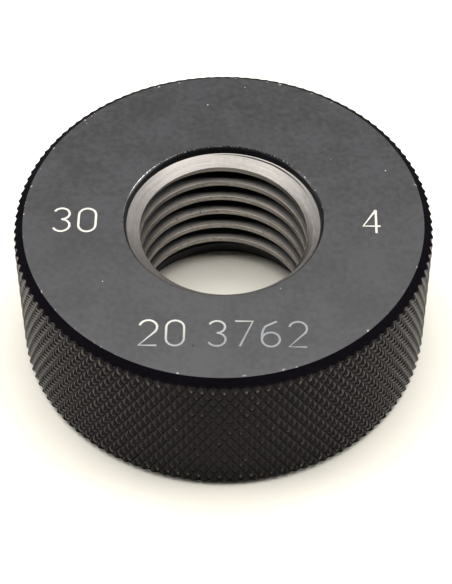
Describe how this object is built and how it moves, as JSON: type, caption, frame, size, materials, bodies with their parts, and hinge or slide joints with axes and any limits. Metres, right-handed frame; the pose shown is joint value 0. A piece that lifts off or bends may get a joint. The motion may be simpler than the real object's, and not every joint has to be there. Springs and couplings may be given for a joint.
{
  "type": "thread ring gauge",
  "caption": "Thick steel ring with a right-hand M22 x 2.5 threaded bore, recessed and countersunk mouths, chamfered rims and a diamond-knurled outside, for checking screw threads.",
  "frame": {"origin": "centre of the lower flat face, on the thread axis", "axes": "+Z along the thread axis, up out of the marked face; -Y towards the side that the picture shows in front"},
  "size_m": [0.048, 0.048, 0.0188],
  "materials": {
    "blackened_steel": "ground and blackened steel, knurled on the rim"
  },
  "bodies": {
    "root": {"gauge_ring": "blackened_steel"}
  },
  "joints": []
}
